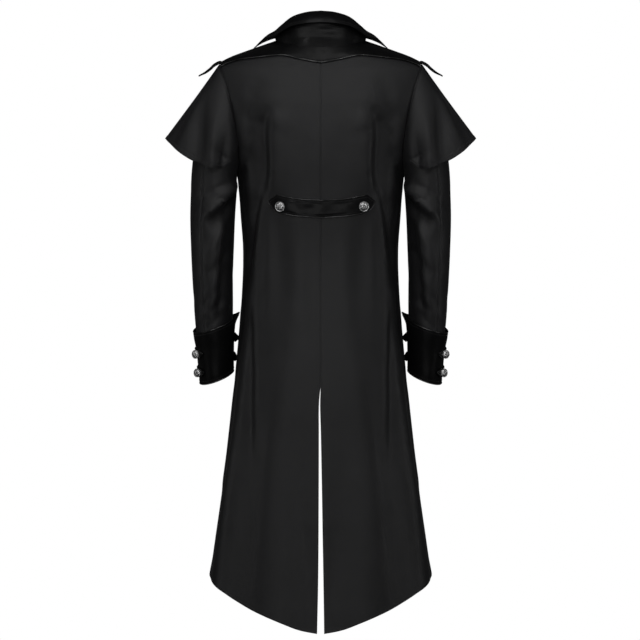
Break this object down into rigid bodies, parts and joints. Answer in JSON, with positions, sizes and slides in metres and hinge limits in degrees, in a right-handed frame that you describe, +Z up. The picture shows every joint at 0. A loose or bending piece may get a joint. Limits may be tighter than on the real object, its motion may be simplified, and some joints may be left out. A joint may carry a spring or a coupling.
{
  "type": "tailcoat",
  "caption": "Floor-length tailcoat, filled out as worn: high collar, leather yoke, shoulder capes, strapped cuffs, half belt, open back vent and cutaway fronts.",
  "frame": {"origin": "middle of the neck base, level with the inner ends of the shoulders: the coat is held there", "axes": "+Z up, -Y the coat's front, +X the wearer's left"},
  "size_m": [0.639, 0.2986, 1.2738],
  "materials": {
    "coat_cloth": "black satin-faced cloth, soft sheen",
    "gloss_leather": "black coated cloth with a leather grain, glossy",
    "silver_metal": "bright silver, raised ornament with darkened hollows"
  },
  "bodies": {
    "root": {"back_left": "coat_cloth", "back_right": "coat_cloth", "front_left": "coat_cloth", "front_right": "coat_cloth", "yoke": "gloss_leather", "yoke_piping": "gloss_leather", "collar_stand": "gloss_leather", "collar_leaf": "gloss_leather", "lapel_left": "coat_cloth", "lapel_right": "coat_cloth", "sleeve_top_left": "coat_cloth", "sleeve_top_right": "coat_cloth", "sleeve_under_left": "coat_cloth", "sleeve_under_right": "coat_cloth", "cape_left": "coat_cloth", "cape_right": "coat_cloth", "tab_left": "gloss_leather", "tab_right": "gloss_leather", "cuff_left": "gloss_leather", "cuff_right": "gloss_leather", "cuff_strap_upper_left": "gloss_leather", "cuff_strap_upper_right": "gloss_leather", "cuff_strap_lower_left": "gloss_leather", "cuff_strap_lower_right": "gloss_leather", "half_belt": "gloss_leather", "cuff_button_upper_left": "silver_metal", "cuff_button_lower_left": "silver_metal", "cuff_button_upper_right": "silver_metal", "cuff_button_lower_right": "silver_metal", "belt_button_left": "silver_metal", "belt_button_right": "silver_metal", "front_button_1": "silver_metal", "front_button_2": "silver_metal", "front_button_3": "silver_metal", "front_button_4": "silver_metal"}
  },
  "joints": []
}
